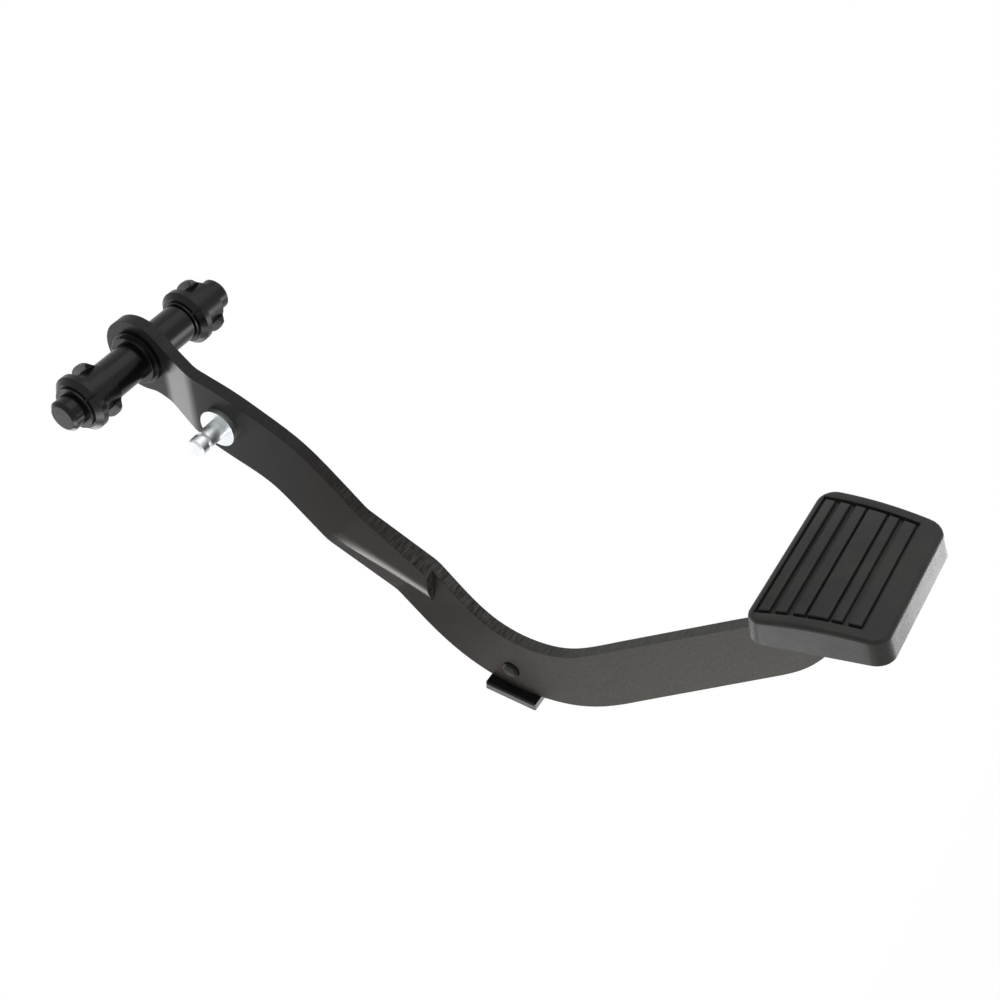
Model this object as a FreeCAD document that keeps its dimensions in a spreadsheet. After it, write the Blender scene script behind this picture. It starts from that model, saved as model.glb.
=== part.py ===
import FreeCAD
import Part
import Sketcher
import math
import os

# Clutch pedal assembly, in millimetres.
# The pieces are drawn in the arm's drawing frame: the pivot axis is Y, x runs from the pivot
# towards the foot pad and z is the driver's side. One turn about the pivot then hangs them.

SIZES = {
    # hang and bar
    "hang_angle": 78.85, "bar_thickness": 6.35, "eye_radius": 19, "eye_fillet": 14,
    # centre line of the arm: four legs and three bends
    "leg_one_length": 89, "leg_one_angle": -17.2, "leg_two_length": 158.6, "leg_two_angle": -39,
    "leg_three_length": 161.5, "leg_three_angle": 42.1, "leg_four_length": 46.7, "leg_four_angle": 66,
    "bend_one_radius": 70, "bend_two_radius": 63, "bend_three_radius": 50,
    # width of the bar from the neck to the foot
    "neck_width": 30, "stud_width": 35, "upper_width": 33, "bow_width": 31, "foot_width": 24,
    # joggles that set the bar sideways
    "neck_start": 16, "neck_run": 18, "neck_offset": 5,
    "ramp_start": 40, "ramp_run": 41, "ramp_offset": 9,
    "joggle_radius": 18, "land_height": 3.2, "land_run": 55.1, "land_inset": 0.5,
    "lip_angle": -24, "lip_radius": 7,
    # pivot shaft, collar and weld
    "barrel_radius": 9.5, "journal_radius": 7.9, "journal_near": 28, "journal_far": 29,
    "shaft_near": 55, "shaft_far": 56, "end_chamfer": 1.6,
    "collar_radius": 13.7, "collar_length": 4.4, "collar_step": 1.3, "weld_leg": 4.5,
    # snap bushings
    "bushing_length": 20, "sleeve_wall": 2.6, "snap_radius": 14.2, "flange_start": 1.5,
    "flange_width": 5.5, "flange_arc": 174, "lug_start": 14.5, "lug_width": 5, "lug_arc": 58,
    "bushing_turn": 48, "flange_chamfer": 2.6,
    "running_gap": 0.05, "end_gap": 0.3, "press_gap": 0.05,
    # pushrod stud
    "stud_x": 50, "stud_z": -17.4, "stud_radius": 4.7, "stud_flange_radius": 9.6,
    "stud_flange": 2.8, "stud_reach": 16.2, "groove_start": 9.2, "groove_width": 2,
    "groove_depth": 1.4, "rivet_radius": 6.4, "rivet_height": 2, "rivet_taper": 1.4,
    "tip_chamfer": 0.9,
    # stop bumper
    "bumper_shift": -2.1, "bumper_length": 27.5, "bumper_width": 17,
    "bumper_height": 4.6, "nub_rise": 11, "nub_shift": -2.5, "nub_radius": 4.2, "nub_proud": 1.6,
    "nub_bevel": 1, "web_thickness": 4, "web_width": 14, "rubber_gap": 0.3, "bumper_bevel": 0.8,
    # foot pad and its steel plate
    "foot_offset": 1.7, "pad_side": 1, "pad_tilt": 11, "pad_length": 51.6,
    "pad_top_width": 81.3, "pad_low_width": 69.6, "pad_height": 13.5, "pad_flare": 2.2, "pad_corner": 8,
    "pad_edge": 2.5, "pad_crown": 140, "panel_depth": 2, "panel_near": 2.5, "panel_low": 9.3,
    "panel_side": 5, "rib_gap": 1.7, "rib_count": 6, "wide_rib": 4, "plate_inset": 4, "plate_thickness": 3.5,
    "lip_thickness": 2, "lip_reach": 5, "plate_weld_leg": 4, "plate_weld_length": 20,
}

doc = FreeCAD.newDocument("clutch_pedal")
sheet = doc.addObject("Spreadsheet::Sheet", "Sizes")
for row, (alias, value) in enumerate(SIZES.items(), start=1):
    sheet.set("A%d" % row, alias)
    sheet.set("B%d" % row, str(value))
    sheet.setAlias("B%d" % row, alias)
doc.recompute()

V = FreeCAD.Vector
across = V(0, 1, 0)
hang = FreeCAD.Placement(V(0, 0, 0), FreeCAD.Rotation(across, float(sheet.get("hang_angle"))))


def size(alias):
    return float(sheet.get(alias))


# Helpers for bodies drawn from sketches
def new_body(label, local=FreeCAD.Placement()):
    body = doc.addObject("PartDesign::Body", label)
    body.Label = label
    body.Placement = hang.multiply(local)
    return body


def draw(body, role, corners):
    plane = [item for item in body.Origin.OriginFeatures if item.Role == role][0]
    sketch = body.newObject("Sketcher::SketchObject", body.Label + "_sketch")
    sketch.AttachmentSupport = [(plane, "")]
    sketch.MapMode = "FlatFace"
    count = len(corners)
    turn = 2 * math.pi / count
    start = [V(math.cos(k * turn), math.sin(k * turn), 0) for k in range(count)]
    for k in range(count):
        sketch.addGeometry(Part.LineSegment(start[k], start[(k + 1) % count]))
    for k in range(count):
        sketch.addConstraint(Sketcher.Constraint("Coincident", k, 2, (k + 1) % count, 1))
    for k, corner in enumerate(corners):
        for kind, rule, value in zip(("DistanceX", "DistanceY"), corner, start[k]):
            index = sketch.addConstraint(Sketcher.Constraint(kind, -1, 1, k, 1, value))
            sketch.setExpression("Constraints[%d]" % index, rule)
    return sketch


def turned(body, corners, arc="360"):
    sketch = draw(body, "XY_Plane", corners)
    turning = body.newObject("PartDesign::Revolution", body.Label + "_turned")
    turning.Profile = sketch
    turning.ReferenceAxis = (sketch, ["V_Axis"])
    turning.Midplane = True
    turning.setExpression("Angle", arc)
    return turning


def padded(body, role, corners, length):
    sketch = draw(body, role, corners)
    block = body.newObject("PartDesign::Pad", body.Label + "_block")
    block.Profile = sketch
    block.Midplane = True
    block.setExpression("Length", length)
    return block


def solid_node(label, shape, local=FreeCAD.Placement()):
    node = doc.addObject("Part::Feature", label)
    node.Label = label
    node.Shape = shape
    node.Placement = hang.multiply(local)
    return node


# Places shared by several pieces
half = size("bar_thickness") / 2
upper_y = -size("neck_offset")
lower_y = upper_y + size("ramp_offset")
plate_under = -(size("pad_height") - size("lip_thickness"))


# Arm blank: bent centre line, tapering width, round eye
def heading(alias):
    angle = math.radians(size(alias))
    return V(math.cos(angle), 0, math.sin(angle))


legs = ("leg_one", "leg_two", "leg_three")
bends = ("bend_one_radius", "bend_two_radius", "bend_three_radius")
ways = [heading(leg + "_angle") for leg in legs + ("leg_four",)]
knees = [V(0, 0, 0)]
for leg, way in zip(legs, ways):
    knees.append(knees[-1] + way * size(leg + "_length"))
# the fourth leg ends under the pad plate, which it meets a little off the plate's middle
foot = knees[-1] + ways[-1] * size("leg_four_length")
tilt = FreeCAD.Rotation(across, -size("pad_tilt"))
pad_middle = foot - tilt.multVec(V(size("foot_offset"), 0, plate_under))
pad_middle.y = lower_y + size("pad_side")
pad_seat = FreeCAD.Placement(pad_middle, tilt)
knees.append(foot + ways[-1] * size("foot_width"))


# Straight runs joined by tangent arcs
def bent_edges(points, radii):
    edges = []
    here = points[0]
    for before, knee, after, radius in zip(points, points[1:], points[2:], radii):
        come = (knee - before).normalize()
        leave = (after - knee).normalize()
        turn = come.getAngle(leave)
        tangent = radius * math.tan(turn / 2)
        inward = (leave - come).normalize()
        first = knee - come * tangent
        middle = knee + inward * (radius / math.cos(turn / 2) - radius)
        last = knee + leave * tangent
        edges.append(Part.makeLine(here, first))
        edges.append(Part.Arc(first, middle, last).toShape())
        here = last
    edges.append(Part.makeLine(here, points[-1]))
    return edges


def arm_blank():
    line = Part.Wire(bent_edges(knees, [size(alias) for alias in bends]))
    stations = line.discretize(Number=27)
    bow_at = size("leg_one_length") + size("leg_two_length")
    marks = [(0, "neck_width"), (size("neck_start") + size("neck_run") / 2, "neck_width"),
             (size("stud_x"), "stud_width"), (size("leg_one_length"), "upper_width"),
             (bow_at, "bow_width"), (line.Length, "foot_width")]
    upper, lower = [], []
    for k, point in enumerate(stations):
        run = line.Length * k / (len(stations) - 1)
        for (a, wide_a), (b, wide_b) in zip(marks, marks[1:]):
            if a <= run <= b:
                share = (run - a) / (b - a)
                wide = size(wide_a) * (1 - share) + size(wide_b) * share
        ahead = stations[min(k + 1, len(stations) - 1)] - stations[max(k - 1, 0)]
        side = V(-ahead.z, 0, ahead.x).normalize() * (wide / 2)
        upper.append(point + side)
        lower.append(point - side)
    top, bottom = Part.BSplineCurve(), Part.BSplineCurve()
    top.interpolate(upper)
    bottom.interpolate(lower)
    outline = Part.Wire([top.toShape(), Part.makeLine(upper[-1], lower[-1]), bottom.toShape(),
                         Part.makeLine(lower[0], upper[0])])
    bar = Part.Face(outline)
    bar.translate(across * -reach)
    bar = bar.extrude(across * (2 * reach))
    eye = Part.makeCylinder(size("eye_radius"), 2 * reach, across * -reach, across)
    blank = bar.fuse(eye).removeSplitter()
    waist = [edge for edge in blank.Edges if edge.Length > 1.9 * reach
             and abs(edge.tangentAt(edge.FirstParameter).y) > 0.99
             and 1 < edge.CenterOfMass.x < size("eye_radius")]
    return blank.makeFillet(size("eye_fillet"), waist)


reach = 4 * size("bar_thickness")
blank = arm_blank()
bow_turn = ways[1].getAngle(ways[2])
bow_inward = (ways[2] - ways[1]).normalize()
bow_x = (knees[2] + bow_inward * (size("bend_two_radius") / math.cos(bow_turn / 2))).x
bow_z = blank.optimalBoundingBox(False).ZMin
bumper_seat = V(bow_x + size("bumper_shift"), lower_y, bow_z)


# Strip of bar thickness that follows a joggle, extruded along its bend lines
def joggle(start, way, points, length):
    normal = way.cross(across)
    slopes = [(b[1] - a[1]) / (b[0] - a[0]) for a, b in zip(points, points[1:])]
    sides = []
    for side in (-half, half):
        corners = [start + way * s + across * (y + side) for s, y in points]
        radii = []
        for before, after in zip(slopes, slopes[1:]):
            inside = (after - before) * side > 0
            radii.append(size("joggle_radius") + (0 if inside else size("bar_thickness")))
        sides.append(bent_edges(corners, radii))
    front, back = sides
    first = Part.makeLine(back[0].firstVertex().Point, front[0].firstVertex().Point)
    last = Part.makeLine(front[-1].lastVertex().Point, back[-1].lastVertex().Point)
    face = Part.Face(Part.Wire(front + [last] + back[::-1] + [first]))
    face.translate(normal * -length)
    return face.extrude(normal * (2 * length))


# Raised land: the bar's front carries on over the ramp, rolls in along its lower edge and ends in a step
def raised_land(span):
    slope = (lower_y - size("land_height") - upper_y) / size("land_run")
    strip_end = size("ramp_start") + size("land_run") + size("upper_width")
    strip = joggle(knees[1], ways[1], [(0, upper_y), (size("ramp_start"), upper_y),
                                       (strip_end, upper_y + slope * (strip_end - size("ramp_start")))], span)
    lip = heading("lip_angle")
    edge = ways[1].cross(across) * (size("upper_width") / 2 - size("land_inset"))
    low = knees[1] + ways[1] * size("ramp_start") - edge
    low_end = low + lip * (size("land_run") / lip.dot(ways[1]))
    rise = V(0, 0, span)
    fence = Part.Face(Part.makePolygon([low, low_end, low_end + rise, low + rise, low]))
    fence.translate(across * -reach)
    land = strip.common(blank).common(fence.extrude(across * (2 * reach)))
    # the corner that the roll takes off, drawn across the lower edge and run along it
    along, up = [way + across * (slope * way.dot(ways[1])) for way in (lip, lip.cross(across))]
    corner = low + across * (upper_y - half)
    inner, roll, outer = bent_edges([corner + up * reach, corner, corner + across * reach],
                                    [size("lip_radius")])
    top, back = inner.lastVertex().Point, outer.firstVertex().Point
    waste = Part.Face(Part.Wire([Part.makeLine(corner, top), roll, Part.makeLine(back, corner)]))
    waste.translate(along * -size("lip_radius"))
    return land.cut(waste.extrude(along * span))


def pedal_arm():
    span = knees[-1].Length
    neck_end = size("neck_start") + size("neck_run")
    ramp_end = size("ramp_start") + size("ramp_run")
    neck = joggle(V(0, 0, 0), V(1, 0, 0), [(-span, 0), (size("neck_start"), 0), (neck_end, upper_y),
                                           (size("leg_one_length"), upper_y)], span)
    ramp = joggle(knees[1], ways[1], [(-size("leg_one_length") / 3, upper_y),
                                      (size("ramp_start"), upper_y), (ramp_end, lower_y),
                                      (2 * span, lower_y)], span)
    arm = blank.common(neck.fuse(ramp))
    arm = arm.fuse(raised_land(span))
    # holes and the cut under the plate
    bore = size("barrel_radius") + size("press_gap")
    arm = arm.cut(Part.makeCylinder(bore, 2 * reach, across * -reach, across))
    stud_hole = size("stud_radius") + size("press_gap")
    stud_at = V(size("stud_x"), -reach, size("stud_z"))
    arm = arm.cut(Part.makeCylinder(stud_hole, 2 * reach, stud_at, across))
    nub_hole = size("nub_radius") + size("rubber_gap")
    nub = bumper_seat + V(size("nub_shift"), -2 * reach, size("nub_rise"))
    arm = arm.cut(Part.makeCylinder(nub_hole, 4 * reach, nub, across))
    above = Part.makeBox(2 * size("pad_length"), 2 * size("pad_top_width"), size("pad_length"),
                         V(-size("pad_length"), -size("pad_top_width"), plate_under))
    above.Placement = pad_seat.multiply(above.Placement)
    return arm.cut(above).removeSplitter()


solid_node("pedal_arm", pedal_arm())


# Pivot shaft, collar and the weld behind the eye
shaft = new_body("pivot_shaft")
turned(shaft, [
    ("0", "-Sizes.shaft_near"),
    ("Sizes.journal_radius - Sizes.end_chamfer", "-Sizes.shaft_near"),
    ("Sizes.journal_radius", "Sizes.end_chamfer - Sizes.shaft_near"),
    ("Sizes.journal_radius", "Sizes.journal_near - Sizes.shaft_near"),
    ("Sizes.barrel_radius", "Sizes.journal_near - Sizes.shaft_near"),
    ("Sizes.barrel_radius", "Sizes.shaft_far - Sizes.journal_far"),
    ("Sizes.journal_radius", "Sizes.shaft_far - Sizes.journal_far"),
    ("Sizes.journal_radius", "Sizes.shaft_far - Sizes.end_chamfer"),
    ("Sizes.journal_radius - Sizes.end_chamfer", "Sizes.shaft_far"),
    ("0", "Sizes.shaft_far"),
])

collar = new_body("pivot_collar")
turned(collar, [
    ("Sizes.barrel_radius + Sizes.press_gap", "-Sizes.bar_thickness / 2"),
    ("Sizes.collar_radius", "-Sizes.bar_thickness / 2"),
    ("Sizes.collar_radius", "-Sizes.bar_thickness / 2 - Sizes.collar_length / 2"),
    ("Sizes.collar_radius - Sizes.collar_step", "-Sizes.bar_thickness / 2 - Sizes.collar_length / 2"),
    ("Sizes.collar_radius - Sizes.collar_step", "-Sizes.bar_thickness / 2 - Sizes.collar_length"),
    ("Sizes.barrel_radius + Sizes.press_gap", "-Sizes.bar_thickness / 2 - Sizes.collar_length"),
])

bead = new_body("shaft_weld")
turned(bead, [
    ("Sizes.barrel_radius + Sizes.press_gap", "Sizes.bar_thickness / 2"),
    ("Sizes.barrel_radius + Sizes.weld_leg", "Sizes.bar_thickness / 2"),
    ("Sizes.barrel_radius + Sizes.press_gap", "Sizes.bar_thickness / 2 + Sizes.weld_leg"),
])


# Snap bushings: one moulding used twice, split flange first and snap lugs behind it
def bushing(label, start):
    place = FreeCAD.Placement(V(0, start, 0), FreeCAD.Rotation(across, size("bushing_turn")))
    body = new_body(label, place)
    sleeve = "Sizes.journal_radius + Sizes.running_gap + Sizes.sleeve_wall"
    bore = "Sizes.journal_radius + Sizes.running_gap"
    turned(body, [(bore, "0"), (sleeve, "0"), (sleeve, "Sizes.bushing_length"),
                  (bore, "Sizes.bushing_length")])
    root = sleeve + " - Sizes.sleeve_wall / 2"
    flange = turned(body, [
        (root, "Sizes.flange_start"),
        ("Sizes.snap_radius - Sizes.flange_chamfer", "Sizes.flange_start"),
        ("Sizes.snap_radius", "Sizes.flange_start + Sizes.flange_chamfer"),
        ("Sizes.snap_radius", "Sizes.flange_start + Sizes.flange_width"),
        (root, "Sizes.flange_start + Sizes.flange_width"),
    ], "Sizes.flange_arc")
    lug = turned(body, [
        (root, "Sizes.lug_start"),
        ("Sizes.snap_radius", "Sizes.lug_start"),
        ("Sizes.snap_radius", "Sizes.lug_start + Sizes.lug_width / 3"),
        (sleeve, "Sizes.lug_start + Sizes.lug_width"),
        (root, "Sizes.lug_start + Sizes.lug_width"),
    ], "Sizes.lug_arc")
    pair = body.newObject("PartDesign::PolarPattern", label + "_pair")
    pair.Originals = [flange, lug]
    pair.Axis = (flange.Profile[0], ["V_Axis"])
    pair.Angle = 360
    pair.Occurrences = 2
    body.Tip = pair
    return body


near_step = size("journal_near") - size("shaft_near")
far_step = size("shaft_far") - size("journal_far")
bushing("near_bushing", near_step - size("end_gap") - size("bushing_length"))
bushing("far_bushing", far_step + size("end_gap"))


# Pushrod stud: flange on the arm's face, clip groove, riveted tail behind
stud = new_body("pushrod_stud", FreeCAD.Placement(V(size("stud_x"), upper_y - half, size("stud_z")),
                                                 FreeCAD.Rotation()))
turned(stud, [
    ("0", "-Sizes.stud_flange - Sizes.stud_reach"),
    ("Sizes.stud_radius - Sizes.tip_chamfer", "-Sizes.stud_flange - Sizes.stud_reach"),
    ("Sizes.stud_radius", "Sizes.tip_chamfer - Sizes.stud_flange - Sizes.stud_reach"),
    ("Sizes.stud_radius", "-Sizes.stud_flange - Sizes.groove_start - Sizes.groove_width"),
    ("Sizes.stud_radius - Sizes.groove_depth",
     "-Sizes.stud_flange - Sizes.groove_start - Sizes.groove_width"),
    ("Sizes.stud_radius - Sizes.groove_depth", "-Sizes.stud_flange - Sizes.groove_start"),
    ("Sizes.stud_radius", "-Sizes.stud_flange - Sizes.groove_start"),
    ("Sizes.stud_radius", "-Sizes.stud_flange"),
    ("Sizes.stud_flange_radius", "-Sizes.stud_flange"),
    ("Sizes.stud_flange_radius", "0"),
    ("Sizes.stud_radius", "0"),
    ("Sizes.stud_radius", "Sizes.bar_thickness"),
    ("Sizes.rivet_radius", "Sizes.bar_thickness"),
    ("Sizes.rivet_radius - Sizes.rivet_taper", "Sizes.bar_thickness + Sizes.rivet_height"),
    ("0", "Sizes.bar_thickness + Sizes.rivet_height"),
])


# Stop bumper: block under the arm, web behind it and a nub pulled through the arm
def stop_bumper():
    width, long, high = size("bumper_width"), size("bumper_length"), size("bumper_height")
    gap, web = size("rubber_gap"), size("web_thickness")
    block = Part.makeBox(long, width, high, V(-long / 2, -width / 2, -high - gap))
    corners = [edge for edge in block.Edges if abs(edge.tangentAt(0).y) < 0.1]
    block = block.makeChamfer(size("bumper_bevel"), corners)
    tall = size("nub_rise") + size("web_width") / 2 + high / 2
    corner = V(size("nub_shift") - size("web_width") / 2, half + gap, -high / 2 - gap)
    back = Part.makeBox(size("web_width"), web, tall, corner)
    nub = Part.makeCylinder(size("nub_radius"), 2 * half + gap + size("nub_proud") + web / 2,
                            V(size("nub_shift"), -half - size("nub_proud"), size("nub_rise")), across)
    crown = nub.Edges[0] if nub.Edges[0].CenterOfMass.y < 0 else nub.Edges[2]
    nub = nub.makeChamfer(size("nub_bevel"), [crown])
    return block.fuse(back).fuse(nub).removeSplitter()


solid_node("stop_bumper", stop_bumper(), FreeCAD.Placement(bumper_seat, FreeCAD.Rotation()))


# Foot pad: plan tapers towards the lower edge, x runs from the upper to the lower edge
def outline(inset, height, corner, flare=0):
    long = size("pad_length") / 2 - inset
    slant = (size("pad_top_width") - size("pad_low_width")) / 2 / size("pad_length")
    middle = (size("pad_top_width") + size("pad_low_width")) / 4 - inset * math.hypot(1, slant)
    low = long + flare
    wide, narrow = middle + slant * long, middle - slant * low
    corners = [V(-long, -wide, height), V(low, -narrow, height), V(low, narrow, height),
               V(-long, wide, height)]
    seam = V(-long, 0, height)
    return Part.Wire(bent_edges([seam] + corners + [seam], [corner] * len(corners)))


def plan(inset, low, high, corner):
    return Part.Face(outline(inset, low, corner)).extrude(V(0, 0, high - low))


def crown_solid(drop):
    radius = size("pad_crown") - drop
    span = size("pad_top_width")
    return Part.makeCylinder(radius, 2 * span, V(0, -span, -size("pad_crown")), across)


def pedal_pad():
    tall = size("pad_height")
    # the wall at the lower edge leans out towards its foot
    corner, flare = size("pad_corner"), size("pad_flare")
    body = Part.makeLoft([outline(0, -tall, corner, flare), outline(0, tall, corner, -flare)], True, True)
    body = body.common(crown_solid(0))
    rim = [edge for edge in body.Edges if edge.BoundBox.ZMin > -tall / 2]
    body = body.makeChamfer(size("pad_edge"), rim)
    # recessed panel with ribs left standing across it, one twice as wide
    start = -size("pad_length") / 2 + size("panel_near")
    end = size("pad_length") / 2 - size("panel_low")
    count = int(size("rib_count"))
    pitch = (end - start - size("rib_gap")) / (count + 1)
    channels = plan(size("panel_side"), -tall, tall, size("pad_corner") / 2)
    span = size("pad_top_width")
    channels = channels.common(Part.makeBox(end - start, 2 * span, 2 * tall, V(start, -span, -tall)))
    x = start + size("rib_gap")
    for k in range(count):
        wide = 2 * pitch if k + 1 == size("wide_rib") else pitch
        rib = Part.makeBox(wide - size("rib_gap"), 2 * span, 2 * tall, V(x, -span, -tall))
        channels = channels.cut(rib)
        x += wide
    channels = channels.cut(crown_solid(size("panel_depth")))
    body = body.cut(channels)
    # hollow for the plate, and the opening inside the lip
    gap = size("rubber_gap")
    inset = size("plate_inset")
    plate_top = plate_under + size("plate_thickness")
    hollow = plan(inset - gap, plate_under - gap, plate_top + gap, size("pad_corner") / 2)
    mouth = plan(inset + size("lip_reach"), -2 * tall, plate_under, size("pad_corner") / 2)
    return body.cut(hollow).cut(mouth)


solid_node("pedal_pad", pedal_pad(), pad_seat)
plate_top = plate_under + size("plate_thickness")
plate = plan(size("plate_inset"), plate_under, plate_top, size("pad_corner") / 2)
solid_node("pad_plate", plate, pad_seat)


# Fillet welds that carry the plate on both faces of the arm
def plate_weld(label, side):
    face = side * half - size("pad_side")
    seat = FreeCAD.Placement(V(size("foot_offset"), face, plate_under), FreeCAD.Rotation())
    body = new_body(label, pad_seat.multiply(seat))
    leg = ("%s" if side > 0 else "-%s") % "Sizes.plate_weld_leg"
    corners = [("0", "0"), ("0", "-Sizes.plate_weld_leg"), (leg, "0")]
    padded(body, "YZ_Plane", corners, "Sizes.plate_weld_length")
    return body


plate_weld("plate_weld_near", -1)
plate_weld("plate_weld_far", 1)

# Check every object, then write one file for each node
doc.recompute()
for item in doc.Objects:
    if "Invalid" in item.State or "Error" in item.State:
        raise RuntimeError("%s did not build: %s" % (item.Label, item.State))
nodes = [item for item in doc.Objects if item.TypeId in ("PartDesign::Body", "Part::Feature")]
os.makedirs("parts", exist_ok=True)
for node in nodes:
    if node.Shape.isNull() or not node.Shape.isValid():
        raise RuntimeError("%s has no valid shape" % node.Label)
    node.Shape.exportStep("parts/%s.step" % node.Label)
    print(node.Label, "solids", len(node.Shape.Solids), "volume %.0f" % node.Shape.Volume)
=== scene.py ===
import bpy
import bmesh
import math
from mathutils import Matrix, Vector


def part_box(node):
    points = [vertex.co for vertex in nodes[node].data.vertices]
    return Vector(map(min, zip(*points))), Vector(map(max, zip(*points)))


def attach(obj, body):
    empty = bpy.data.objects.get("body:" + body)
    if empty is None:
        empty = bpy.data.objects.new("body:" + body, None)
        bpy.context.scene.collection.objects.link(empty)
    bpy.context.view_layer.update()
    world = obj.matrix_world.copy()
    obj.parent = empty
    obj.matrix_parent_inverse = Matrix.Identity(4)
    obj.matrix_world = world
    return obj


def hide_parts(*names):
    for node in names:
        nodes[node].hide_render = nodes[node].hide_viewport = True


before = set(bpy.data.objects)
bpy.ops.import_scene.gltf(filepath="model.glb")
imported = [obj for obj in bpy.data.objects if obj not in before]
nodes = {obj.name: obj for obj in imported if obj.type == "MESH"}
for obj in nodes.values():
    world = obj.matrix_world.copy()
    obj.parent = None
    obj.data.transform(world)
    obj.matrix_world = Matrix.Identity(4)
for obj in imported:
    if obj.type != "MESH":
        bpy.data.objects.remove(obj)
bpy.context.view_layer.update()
print("frame loaded:", len(nodes), "nodes")

mm = 0.001
near = 0.001 * mm  # points closer than this count as one
hang = Matrix.Rotation(math.radians(78.85), 4, "Y")  # from the arm's flat drawing to the hanging pedal
padTurn = Matrix.Rotation(math.radians(-11), 4, "Y")  # of the pad in that drawing


# sRGB hex to the linear colour that the shaders use
def hexColour(text):
    parts = [int(text[k:k + 2], 16) / 255 for k in (1, 3, 5)]
    return [p / 12.92 if p <= 0.04045 else ((p + 0.055) / 1.055) ** 2.4 for p in parts] + [1]


# pattern scale for a feature of this many millimetres
def scaleFor(featureMm):
    return 1000 / featureMm


# adds one node, sets its properties and sockets, and links what comes in
def addNode(tree, kind, settings=None, links=None):
    node = tree.nodes.new(kind)
    for name, value in (settings or {}).items():
        if isinstance(name, int) or name in node.inputs.keys():
            node.inputs[name].default_value = value
        else:
            setattr(node, name, value)
    for socket, source in (links or {}).items():
        tree.links.new(source, node.inputs[socket])
    return node


# maths on numbers and other nodes' outputs
def addMath(tree, operation, *terms):
    fixed = {k: term for k, term in enumerate(terms) if isinstance(term, (int, float))}
    linked = {k: term for k, term in enumerate(terms) if k not in fixed}
    return addNode(tree, "ShaderNodeMath", {"operation": operation, **fixed}, linked).outputs[0]


# carries one span of values over to another
def addRange(tree, value, span, result=(0.0, 1.0)):
    limits = {"From Min": span[0], "From Max": span[1], "To Min": result[0], "To Max": result[1]}
    return addNode(tree, "ShaderNodeMapRange", limits, {"Value": value}).outputs["Result"]


def addNoise(tree, place, featureMm, detail, roughness=0.5):
    look = {"Scale": scaleFor(featureMm), "Detail": detail, "Roughness": roughness}
    return addNode(tree, "ShaderNodeTexNoise", look, {"Vector": place}).outputs["Fac"]


# mixes two colours, each a hex text or another node's output
def addBlend(tree, share, first, second):
    blend = addNode(tree, "ShaderNodeMix", {"data_type": "RGBA"}, {0: share})
    for socket, colour in ((6, first), (7, second)):
        if isinstance(colour, str):
            blend.inputs[socket].default_value = hexColour(colour)
        else:
            tree.links.new(colour, blend.inputs[socket])
    return blend.outputs[2]


def addBump(tree, height, strength, depthMm, links=None):
    look = {"Strength": strength, "Distance": depthMm * mm}
    return addNode(tree, "ShaderNodeBump", look, {"Height": height, **(links or {})}).outputs["Normal"]


# the shader and the output that close a material
def addSurface(tree, settings, links):
    shader = addNode(tree, "ShaderNodeBsdfPrincipled", settings, links)
    addNode(tree, "ShaderNodeOutputMaterial", None, {"Surface": shader.outputs["BSDF"]})


# 1 where the camera sees something straight, in a mirror or through glass
def addSeen(tree):
    rays = addNode(tree, "ShaderNodeLightPath").outputs
    mirrored = addMath(tree, "MAXIMUM", rays["Is Camera Ray"], rays["Is Glossy Ray"])
    return addMath(tree, "MAXIMUM", mirrored, rays["Is Transmission Ray"])


def newMaterial(name):
    material = bpy.data.materials.new(name)
    material.use_nodes = True
    tree = material.node_tree
    tree.nodes.clear()
    return material, tree


# Sprayed black paint on steel: near-black satin with slight orange peel, browner at the bow, paler grey towards the
# foot, which is painted light for the more brightly lit lower arm, fine dust there, and a rougher, paler look on the
# sheared edges of the bar
paintSettings = {
    "specular": 0.1, "satin": 0.25, "dull": 0.5, "scuffMm": 0.7, "scuffRough": 0.1,
    "peelMm": 2.2, "peelStrength": 0.05, "peelDepthMm": 0.3,
    # tone at each height below the pivot, in metres, and how far the blotches shift it; the paler greys towards the
    # foot are painted light, where the lower arm is lit more
    "tones": [(0.0, "#232323"), (0.08, "#1c1b1b"), (0.13, "#18110d"), (0.2, "#1b1410"), (0.24, "#363431"),
              (0.36, "#454440")],
    "blotchMm": 38, "blotchShift": 0.04,
    # sheared edges: how they face the pivot axis, their tone and score marks, and the heights below which they turn
    # paler
    "edgeMm": 0.5, "edgeFacing": (0.5, 0.2), "edgeTone": "#767a7c", "edgeShare": 0.22, "edgeMatt": 0.5,
    "shearMm": 0.8, "shearStretch": 0.12, "shearSpan": (0.35, 0.7), "paleEdgeHeights": (0.1, 0.17), "paleEdgeLeast": 0.2,
    # dust on the lower arm
    "dustMm": 1.3, "dustTone": "#8a8a83", "dustShare": 0.08, "dustSpan": (0.4, 0.7), "dustHeights": (0.18, 0.26),
}


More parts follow.
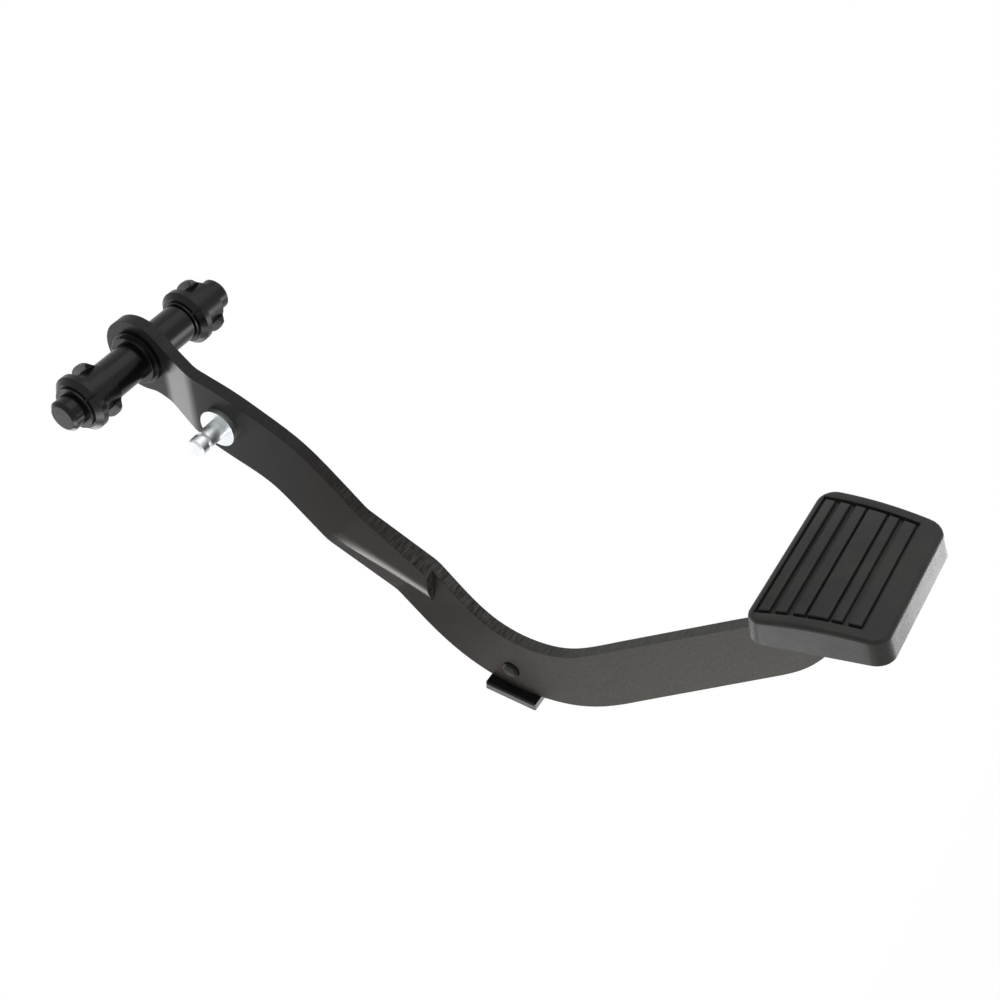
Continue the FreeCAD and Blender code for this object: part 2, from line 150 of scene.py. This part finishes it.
def satinPaint(name, s):
    material, tree = newMaterial(name)
    place = addNode(tree, "ShaderNodeTexCoord").outputs["Object"]
    peel = addNoise(tree, place, s["peelMm"], 3.0)
    blotch = addNoise(tree, place, s["blotchMm"], 5.0, 0.6)
    scuff = addNoise(tree, place, s["scuffMm"], 2.0)
    # tone by height, with its borders broken up by the blotches; the paler tone towards the foot is painted light
    height = addNode(tree, "ShaderNodeSeparateXYZ", None, {"Vector": place}).outputs["Z"]
    drop = addMath(tree, "MULTIPLY_ADD", height, -1.0, -s["blotchShift"] / 2)
    broken = addMath(tree, "MULTIPLY_ADD", blotch, s["blotchShift"], drop)
    reach = s["tones"][-1][0]
    tones = addNode(tree, "ShaderNodeValToRGB", None, {"Fac": addMath(tree, "MULTIPLY", broken, 1 / reach)})
    stops = tones.color_ramp.elements
    stops.remove(stops[1])
    for k, (at, colour) in enumerate(s["tones"]):
        stop = stops.new(at / reach) if k else stops[0]
        stop.color = hexColour(colour)
    # the bar's cut edges lie along the pivot axis, its two faces square to it
    shape = addNode(tree, "ShaderNodeNewGeometry")
    side = addNode(tree, "ShaderNodeSeparateXYZ", None, {"Vector": shape.outputs["True Normal"]})
    facing = addMath(tree, "ABSOLUTE", side.outputs["Y"])
    cutEdge = addRange(tree, facing, s["edgeFacing"], (0.0, s["edgeShare"]))
    stretch = addNode(tree, "ShaderNodeMapping", {"Scale": [1, s["shearStretch"], 1]}, {"Vector": place})
    shear = addNoise(tree, stretch.outputs["Vector"], s["shearMm"], 2.0)
    scored = addRange(tree, shear, s["shearSpan"])
    paleLower = addRange(tree, broken, s["paleEdgeHeights"], (s["paleEdgeLeast"], 1.0))
    pale = addMath(tree, "MULTIPLY", cutEdge, addMath(tree, "MULTIPLY", scored, paleLower))
    edged = addBlend(tree, pale, tones.outputs["Color"], s["edgeTone"])
    # fine dust on the lower arm
    specks = addNoise(tree, place, s["dustMm"], 6.0, 0.75)
    spread = addRange(tree, specks, s["dustSpan"], (0.0, s["dustShare"]))
    settled = addRange(tree, broken, s["dustHeights"])
    colour = addBlend(tree, addMath(tree, "MULTIPLY", spread, settled), edged, s["dustTone"])
    low = addRange(tree, broken, s["dustHeights"], (s["satin"], s["dull"]))
    matt = addMath(tree, "MULTIPLY_ADD", cutEdge, s["edgeMatt"], low)
    rough = addMath(tree, "MULTIPLY_ADD", scuff, s["scuffRough"], matt)
    # paint draws back from sharp edges, which shows as a soft bright line
    edge = addNode(tree, "ShaderNodeBevel", {"samples": 4, "Radius": s["edgeMm"] * mm})
    bump = addBump(tree, peel, s["peelStrength"], s["peelDepthMm"], {"Normal": edge.outputs["Normal"]})
    addSurface(tree, {"IOR": 1.5, "Specular IOR Level": s["specular"]},
               {"Base Color": colour, "Roughness": rough, "Normal": bump})
    return material


# Moulded rubber: soft charcoal black, no gloss, a fine matt grain and chalky rub marks
rubberSettings = {
    "colour": "#1a1a19", "specular": 0.22, "rough": 0.45, "roughSpread": 0.16,
    "grainMm": 0.9, "grainStrength": 0.25, "grainDepthMm": 0.3,
    "chalk": "#302f2d", "rubMm": 14, "rubSpan": (0.42, 0.8), "rubShare": 0.75,
    # painted light: a paler grey on the walls, which face away from the tread and catch the light, and only on the
    # parts with x below a given limit
    "paintedLightTone": "#2a2928", "paintedLightShare": 0.85, "paintedLightFacing": (0.75, 0.35), "paintedLightTo": 1.0, "paintedLightSoft": 7 * mm,
    "tread": (hang @ padTurn).to_3x3() @ Vector((0, 0, 1)),
}


def mouldedRubber(name, s):
    material, tree = newMaterial(name)
    spot = addNode(tree, "ShaderNodeTexCoord").outputs
    place = spot["Object"]
    grain = addNoise(tree, place, s["grainMm"], 3.0, 0.6)
    rub = addNoise(tree, place, s["rubMm"], 6.0, 0.65)
    marks = addRange(tree, rub, s["rubSpan"], (0.0, s["rubShare"]))
    worn = addBlend(tree, marks, s["colour"], s["chalk"])
    # painted light: the side walls are painted a paler grey for the light that falls on them
    facing = addNode(tree, "ShaderNodeVectorMath", {"operation": "DOT_PRODUCT", 1: s["tread"]}, {0: spot["Normal"]})
    side = addRange(tree, facing.outputs["Value"], s["paintedLightFacing"], (0.0, s["paintedLightShare"]))
    across = addNode(tree, "ShaderNodeSeparateXYZ", None, {"Vector": place}).outputs["X"]
    outer = addRange(tree, across, (s["paintedLightTo"] + s["paintedLightSoft"], s["paintedLightTo"]))
    colour = addBlend(tree, addMath(tree, "MULTIPLY", side, outer), worn, s["paintedLightTone"])
    rough = addMath(tree, "MULTIPLY_ADD", rub, s["roughSpread"], s["rough"] - s["roughSpread"] / 2)
    bump = addBump(tree, grain, s["grainStrength"], s["grainDepthMm"])
    addSurface(tree, {"IOR": 1.52, "Specular IOR Level": s["specular"]},
               {"Base Color": colour, "Roughness": rough, "Normal": bump})
    return material


# Moulded nylon: deep black with a light greasy sheen and a faint spark-eroded mould grain
nylonSettings = {
    "colour": "#0b0b0b", "specular": 0.2, "rough": 0.3, "roughSpread": 0.2, "patchMm": 7,
    "grainMm": 0.6, "grainStrength": 0.18, "grainDepthMm": 0.2,
}


def mouldedNylon(name, s):
    material, tree = newMaterial(name)
    place = addNode(tree, "ShaderNodeTexCoord").outputs["Object"]
    grain = addNoise(tree, place, s["grainMm"], 2.0)
    patch = addNoise(tree, place, s["patchMm"], 4.0)
    rough = addMath(tree, "MULTIPLY_ADD", patch, s["roughSpread"], s["rough"] - s["roughSpread"] / 2)
    bump = addBump(tree, grain, s["grainStrength"], s["grainDepthMm"])
    addSurface(tree, {"IOR": 1.53, "Specular IOR Level": s["specular"], "Base Color": hexColour(s["colour"])},
               {"Roughness": rough, "Normal": bump})
    return material


# Bright zinc plating on turned steel: cool silver with fine turning rings along the stud
zincSettings = {
    "colour": "#e2e4e5", "stain": "#bcc1c4", "stainMm": 5, "rough": 0.37, "roughSpread": 0.18,
    "ringMm": 0.55, "ringWander": 0.6, "ringStrength": 0.15, "ringDepthMm": 0.1,
}


def brightZinc(name, s, middle):
    material, tree = newMaterial(name)
    place = addNode(tree, "ShaderNodeTexCoord").outputs["Object"]
    centred = addNode(tree, "ShaderNodeMapping", {"Location": [-middle.x, 0, -middle.z]}, {"Vector": place})
    rings = addNode(tree, "ShaderNodeTexWave",
                    {"wave_type": "BANDS", "bands_direction": "Y", "Scale": scaleFor(s["ringMm"]) / math.tau,
                     "Distortion": s["ringWander"], "Detail": 2.0}, {"Vector": centred.outputs["Vector"]})
    stain = addNoise(tree, place, s["stainMm"], 4.0)
    colour = addBlend(tree, stain, s["colour"], s["stain"])
    rough = addMath(tree, "MULTIPLY_ADD", stain, s["roughSpread"], s["rough"] - s["roughSpread"] / 2)
    bump = addBump(tree, rings.outputs["Fac"], s["ringStrength"], s["ringDepthMm"])
    addSurface(tree, {"Metallic": 1.0}, {"Base Color": colour, "Roughness": rough, "Normal": bump})
    return material


armPaint = satinPaint("satin_black_paint", paintSettings)
platePaint = satinPaint("satin_black_plate_paint", {**paintSettings, "edgeShare": 0.0})
shaftPaint = satinPaint("gloss_black_paint", {
    **paintSettings, "tones": [(0.0, "#0b0b0b"), (0.36, "#0b0b0b")], "satin": 0.2, "specular": 0.2, "edgeShare": 0.0,
})
padRubber = mouldedRubber("moulded_rubber", rubberSettings)
# painted light: a pale grey on the stop's faces away from the tread, stopped short of the nub, so the nub stays dark as
# if in shade
stopRubber = mouldedRubber("moulded_stop_rubber", {
    **rubberSettings, "colour": "#121212", "chalk": "#1e1e1d", "paintedLightTone": "#646463", "paintedLightTo": -0.076, "specular": 0.08,
})
nylon = mouldedNylon("moulded_nylon", nylonSettings)
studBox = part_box("pushrod_stud")
zinc = brightZinc("bright_zinc", zincSettings, (studBox[0] + studBox[1]) / 2)

finishes = {
    "pedal_arm": armPaint, "pad_plate": platePaint, "plate_weld_near": platePaint, "plate_weld_far": platePaint,
    "shaft_weld": platePaint, "pivot_shaft": shaftPaint, "pivot_collar": shaftPaint, "pushrod_stud": zinc,
    "stop_bumper": stopRubber, "near_bushing": nylon, "far_bushing": nylon, "pedal_pad": padRubber,
}
for name, finish in finishes.items():
    nodes[name].data.materials.clear()
    nodes[name].data.materials.append(finish)
print("finishes set")


def addPiece(name, bm, material, body, smoothAngle=35):
    mesh = bpy.data.meshes.new(name)
    bmesh.ops.dissolve_degenerate(bm, dist=2 * near, edges=bm.edges)  # slivers that the cuts leave
    bmesh.ops.recalc_face_normals(bm, faces=bm.faces)
    for face in bm.faces:
        face.smooth = True
    for edge in bm.edges:
        if len(edge.link_faces) == 2 and edge.calc_face_angle(0) > math.radians(smoothAngle):
            edge.smooth = False
    bm.to_mesh(mesh)
    bm.free()
    piece = bpy.data.objects.new(name, mesh)
    bpy.context.scene.collection.objects.link(piece)
    mesh.materials.append(material)
    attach(piece, body)
    return piece


# cuts the given faces along a plane
def cutAcross(bm, point, normal, faces):
    edges = {edge for face in faces for edge in face.edges}
    verts = {vert for face in faces for vert in face.verts}
    bmesh.ops.bisect_plane(bm, geom=list(faces) + list(edges) + list(verts), plane_co=point, plane_no=normal,
                           dist=near / 10)


# Pedal arm: the pressed bar, whose raised land eases over in one broad curve to its lower lip
armSettings = {
    # where the CAD roll starts, its radius, how far it reaches out, and how soon it gets there
    "lipFrom": Vector((-35.5, 0, -117.51)) * mm, "lipTo": Vector((-47.59, 0, -170.6)) * mm,
    "roll": 7 * mm, "rollReach": 6.45 * mm, "rollRun": 14 * mm,
    "ease": 5.5 * mm,  # width of the land that eases over
    # cuts across the lip and along it, and how far they go out, in and past the end
    "cut": 1 * mm, "cutsOut": 6, "cutsIn": 8, "stretch": 4 * mm, "pastEnd": 5 * mm,
    # what counts as the land: lean of its face, depth off its true shape, and share of the roll that is used
    "leaning": (0.993, 0.9975), "touch": 0.12 * mm, "rollShare": 0.93,
}


def easedArm(s):
    bm = bmesh.new()
    bm.from_mesh(nodes["pedal_arm"].data)
    bmesh.ops.remove_doubles(bm, verts=bm.verts, dist=near)
    bm.normal_update()
    start, run = s["lipFrom"], (s["lipTo"] - s["lipFrom"]).length
    along = (s["lipTo"] - s["lipFrom"]).normalized()
    inward = Vector((-along.z, 0, along.x))

    def rolled(d):
        return s["roll"] - math.sqrt(s["roll"] ** 2 - d ** 2) if d < 0 else 0

    # the land is the front face that leans by a few degrees
    leaning = [face for face in bm.faces if s["leaning"][0] < -face.normal.y < s["leaning"][1]
               and 0 < (face.calc_center_median() - start).dot(along) < run]
    land = max(leaning, key=lambda face: face.calc_area())
    level, lean = land.verts[0].co.copy(), land.normal.copy()

    # along the lip, in from the lip, and depth below the land's plane
    def placeOf(vert):
        p = vert.co - level
        depth = p.y + (lean.x * p.x + lean.z * p.z) / lean.y
        return (vert.co - start).dot(along), (vert.co - start).dot(inward), depth

    def onLand(vert):
        t, d, depth = placeOf(vert)
        inReach = -s["cut"] < t < run + s["pastEnd"] and d > -s["rollShare"] * s["roll"]
        return inReach and abs(depth - rolled(d)) < s["touch"] * (1 + abs(depth) / mm)

    def landFaces():
        return [face for face in bm.faces if all(onLand(vert) for vert in face.verts)]

    for k in range(-s["cutsOut"], s["cutsIn"] + 1):
        cutAcross(bm, start + inward * (k * s["cut"]), inward, landFaces())
    for k in range(1, int(run / s["stretch"]) + 1):
        cutAcross(bm, start + along * (k * s["stretch"]), along, landFaces())
    for vert in [vert for vert in bm.verts if onLand(vert)]:
        t, d, depth = placeOf(vert)
        edge = -s["rollReach"] * (1 - math.exp(-max(t, 0) / s["rollRun"]))
        if edge <= d < s["ease"]:
            vert.co.y += rolled(edge) * ((s["ease"] - d) / (s["ease"] - edge)) ** 2 - depth
    return bm


# Foot pad cover: moulded rubber box with a crowned top, six ribs in a sunk panel, and a lip round the plate
padSettings = {
    "length": 51.6 * mm, "topWidth": 81.3 * mm, "lowWidth": 69.6 * mm, "height": 13.5 * mm,
    "corner": 10 * mm, "rim": 1.8 * mm, "foot": 0.8 * mm, "crown": 140 * mm, "flare": 2.2 * mm,
    "wallLoop": 0.2 * mm, "crownCuts": 24,
    "panelSide": 5 * mm, "endGroove": 1.6 * mm, "grooveDepth": 1.9 * mm, "grooveSoft": 0.35 * mm,
    # upper and lower edge of each groove in millimetres, measured from the upper edge of the pad
    "grooves": [(2.5, 3.7), (7.8, 10.1), (14.2, 16.7), (20.8, 21.9), (29.3, 30.5), (34.3, 36.4), (41.1, 42.3)],
    "brimAngle": 1.2, "mouthArea": 100 * mm * mm, "mouthInset": 9 * mm, "mouthDepth": 3 * mm,
    "seat": (343.25 * mm, 5 * mm, 35.75 * mm),
}


def topFaces(bm):
    return [face for face in bm.faces if face.normal.z > 0.99 and abs(face.calc_center_median().z) < 10 * near]


# sinks or raises faces, with walls round them
def shiftFaces(bm, faces, height):
    moved = bmesh.ops.extrude_face_region(bm, geom=faces)
    verts = [item for item in moved["geom"] if isinstance(item, bmesh.types.BMVert)]
    bmesh.ops.translate(bm, vec=(0, 0, height), verts=verts)
    bmesh.ops.delete(bm, geom=faces, context="FACES_ONLY")
    bm.normal_update()


def footPad(s):
    bm = bmesh.new()
    bmesh.ops.create_cube(bm, size=1)
    bmesh.ops.scale(bm, vec=(s["length"], s["topWidth"], s["height"]), verts=bm.verts)
    bmesh.ops.translate(bm, vec=(0, 0, -s["height"] / 2), verts=bm.verts)
    lowEdge = [vert for vert in bm.verts if vert.co.x > 0]
    bmesh.ops.scale(bm, vec=(1, s["lowWidth"] / s["topWidth"], 1), verts=lowEdge)
    uprights = [edge for edge in bm.edges if abs((edge.verts[0].co - edge.verts[1].co).normalized().z) > 0.9]
    bmesh.ops.bevel(bm, geom=uprights, offset=s["corner"], offset_type="WIDTH", affect="EDGES", segments=8, profile=0.5,
                    material=-1)
    bm.normal_update()
    rim = [edge for edge in bm.edges if all(abs(vert.co.z) < near for vert in edge.verts)]
    foot = [edge for edge in bm.edges if all(abs(vert.co.z + s["height"]) < near for vert in edge.verts)]
    bmesh.ops.bevel(bm, geom=rim, offset=s["rim"], affect="EDGES", segments=5, profile=0.5, material=-1)
    bmesh.ops.bevel(bm, geom=foot, offset=s["foot"], affect="EDGES", segments=2, profile=0.5, material=-1)
    bm.normal_update()
    for z in (-s["rim"] - s["wallLoop"], s["foot"] + s["wallLoop"] - s["height"]):
        cutAcross(bm, (0, 0, z), (0, 0, 1), bm.faces[:])  # keeps the walls flat to the light
    # outline of the sunk panel's grooves, cut into the flat top before it is crowned
    slant = (s["topWidth"] - s["lowWidth"]) / 2 / s["length"]
    side = (s["topWidth"] + s["lowWidth"]) / 4 - s["panelSide"]
    for sign in (-1, 1):
        cutAcross(bm, (0, sign * side, 0), (slant, sign, 0), topFaces(bm))
    starts = [(a * mm - s["length"] / 2, b * mm - s["length"] / 2) for a, b in s["grooves"]]
    for a, b in starts:
        for x in (a, b):
            cutAcross(bm, (x, 0, 0), (1, 0, 0), topFaces(bm))
    # the ribs stop short of the panel's ends, so a groove runs round them
    ends = side - s["endGroove"]
    for sign in (-1, 1):
        cutAcross(bm, (0, sign * ends, 0), (slant, sign, 0), topFaces(bm))
    bm.normal_update()
    floor = []
    for face in topFaces(bm):
        middle = face.calc_center_median()
        wide = abs(middle.y) + slant * middle.x
        inRow = starts[0][0] < middle.x < starts[-1][1]
        inGroove = any(a < middle.x < b for a, b in starts)
        if inRow and wide < side and (inGroove or wide > ends):
            floor.append(face)
    shiftFaces(bm, floor, -s["grooveDepth"])
    brims = [edge for edge in bm.edges if len(edge.link_faces) == 2 and edge.calc_face_angle(0) > s["brimAngle"]
             and all(vert.co.z > -near for vert in edge.verts)]
    bmesh.ops.bevel(bm, geom=brims, offset=s["grooveSoft"], affect="EDGES", segments=3, profile=0.5, material=-1)
    # mouth on the underside, where the plate shows
    bm.normal_update()
    under = [face for face in bm.faces if face.normal.z < -0.99 and face.calc_area() > s["mouthArea"]]
    bmesh.ops.inset_region(bm, faces=under, thickness=s["mouthInset"], use_even_offset=True)
    shiftFaces(bm, under, s["mouthDepth"])
    # cross cuts so that the top can follow the crown
    for k in range(1, s["crownCuts"]):
        x = -s["length"] / 2 + s["length"] * k / s["crownCuts"]
        cutAcross(bm, (x, 0, 0), (1, 0, 0), bm.faces[:])
    for vert in bm.verts:
        share = (vert.co.z + s["height"]) / s["height"]
        lean = 1 - s["flare"] * vert.co.z / s["height"] / s["length"]  # the lower wall leans out towards its foot
        vert.co.z -= share * vert.co.x ** 2 / (2 * s["crown"])
        vert.co.x = (vert.co.x + s["length"] / 2) * lean - s["length"] / 2
    bmesh.ops.transform(bm, matrix=hang @ Matrix.Translation(s["seat"]) @ padTurn, verts=bm.verts)
    return bm


armBar = addPiece("arm_bar", easedArm(armSettings), armPaint, "pedal")
even = armBar.modifiers.new("even_shading", "WEIGHTED_NORMAL")
even.keep_sharp = True
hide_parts("pedal_arm")
print("arm made:", len(armBar.data.polygons), "faces")
padCover = addPiece("pad_cover", footPad(padSettings), padRubber, "pedal")
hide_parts("pedal_pad")
print("foot pad made:", len(padCover.data.polygons), "faces")

# Floor and white surround; the shadow shows near the object and fades out further off
stageSettings = {
    "floorZ": -0.62, "floorSize": 8, "floorColour": "#f4f4f2", "fade": (0.7, 1.6), "shadowShare": 0.05, "surround": 0.55,
}


def paleFloor(s):
    bm = bmesh.new()
    bmesh.ops.create_grid(bm, x_segments=1, y_segments=1, size=s["floorSize"] / 2)
    bmesh.ops.translate(bm, vec=(0, 0, s["floorZ"]), verts=bm.verts)
    mesh = bpy.data.meshes.new("floor")
    bm.to_mesh(mesh)
    bm.free()
    floor = bpy.data.objects.new("floor", mesh)
    bpy.context.scene.collection.objects.link(floor)
    material, tree = newMaterial("pale_studio_floor")
    place = addNode(tree, "ShaderNodeTexCoord").outputs["Object"]
    matt = addNode(tree, "ShaderNodeBsdfDiffuse", {"Color": hexColour(s["floorColour"])})
    plain = addNode(tree, "ShaderNodeEmission", {"Color": [1, 1, 1, 1], "Strength": 1.0})
    away = addNode(tree, "ShaderNodeVectorMath", {"operation": "LENGTH"}, {0: place}).outputs["Value"]
    fade = addRange(tree, away, s["fade"], (1 - s["shadowShare"], 1.0))
    white = addMath(tree, "MULTIPLY", addSeen(tree), fade)
    both = addNode(tree, "ShaderNodeMixShader", None,
                   {0: white, 1: matt.outputs["BSDF"], 2: plain.outputs["Emission"]})
    addNode(tree, "ShaderNodeOutputMaterial", None, {"Surface": both.outputs["Shader"]})
    mesh.materials.append(material)


def whiteSurround(s):
    world = bpy.data.worlds.new("surround")
    bpy.context.scene.world = world
    world.use_nodes = True
    tree = world.node_tree
    tree.nodes.clear()
    level = addRange(tree, addSeen(tree), (0.0, 1.0), (s["surround"], 1.0))
    light = addNode(tree, "ShaderNodeBackground", {"Color": [1, 1, 1, 1]}, {"Strength": level})
    addNode(tree, "ShaderNodeOutputWorld", None, {"Surface": light.outputs["Background"]})


# camera of the photograph: where it stands and how it is turned
viewSettings = {
    "place": (0.50022, -0.3797, -0.32877), "right": (0.16664, 0.50737, -0.84546), "up": (0.63553, 0.60032, 0.48551),
    "lens": 52.2, "sensor": 36, "nearest": 0.01,
}
# soft lamps, placed by the photograph's own right, up and towards-the-viewer directions
lampSettings = {
    "key": {"aim": (0.1, 0, -0.15), "towards": (0.25, 0.85, 0.5), "distance": 0.9, "size": 0.8, "power": 2.5},
    "padSide": {"aim": (0.09, 0.005, -0.33), "towards": (0.65, -0.15, -0.74), "distance": 0.3, "size": 0.3,
                "power": 1.9},
    "ramp": {"aim": (0.03, 0, -0.05), "towards": (-0.74, -0.28, -0.6), "distance": 0.7, "size": 0.35, "power": 1.75},
    "lip": {"aim": (-0.04, 0, -0.15), "towards": (-0.44, -0.54, -0.72), "distance": 0.7, "size": 0.3, "power": 1},
    "table": {"aim": (0.1, 0, -0.35), "towards": (-0.44, -0.88, -0.16), "distance": 0.6, "size": 0.28, "power": 1.9},
}


def photoView(s, lamps):
    right, up = Vector(s["right"]).normalized(), Vector(s["up"]).normalized()
    back = right.cross(up).normalized()
    data = bpy.data.cameras.new("photo_view")
    data.lens = s["lens"]
    data.sensor_width = s["sensor"]
    data.clip_start = s["nearest"]
    camera = bpy.data.objects.new("photo_view", data)
    bpy.context.scene.collection.objects.link(camera)
    turn = Matrix((right, up, back)).transposed().to_4x4()
    camera.matrix_world = Matrix.Translation(s["place"]) @ turn
    bpy.context.scene.camera = camera
    for name, lamp in lamps.items():
        light = bpy.data.lights.new(name, "AREA")
        light.energy = lamp["power"]
        light.size = lamp["size"]
        holder = bpy.data.objects.new(name, light)
        bpy.context.scene.collection.objects.link(holder)
        way = (turn.to_3x3() @ Vector(lamp["towards"])).normalized()
        holder.visible_camera = False
        holder.location = Vector(lamp["aim"]) + way * lamp["distance"]
        holder.rotation_euler = (-way).to_track_quat("-Z", "Y").to_euler()


paleFloor(stageSettings)
whiteSurround(stageSettings)
photoView(viewSettings, lampSettings)
bpy.context.scene.view_settings.view_transform = "Standard"
print("stage, lamps and camera set")
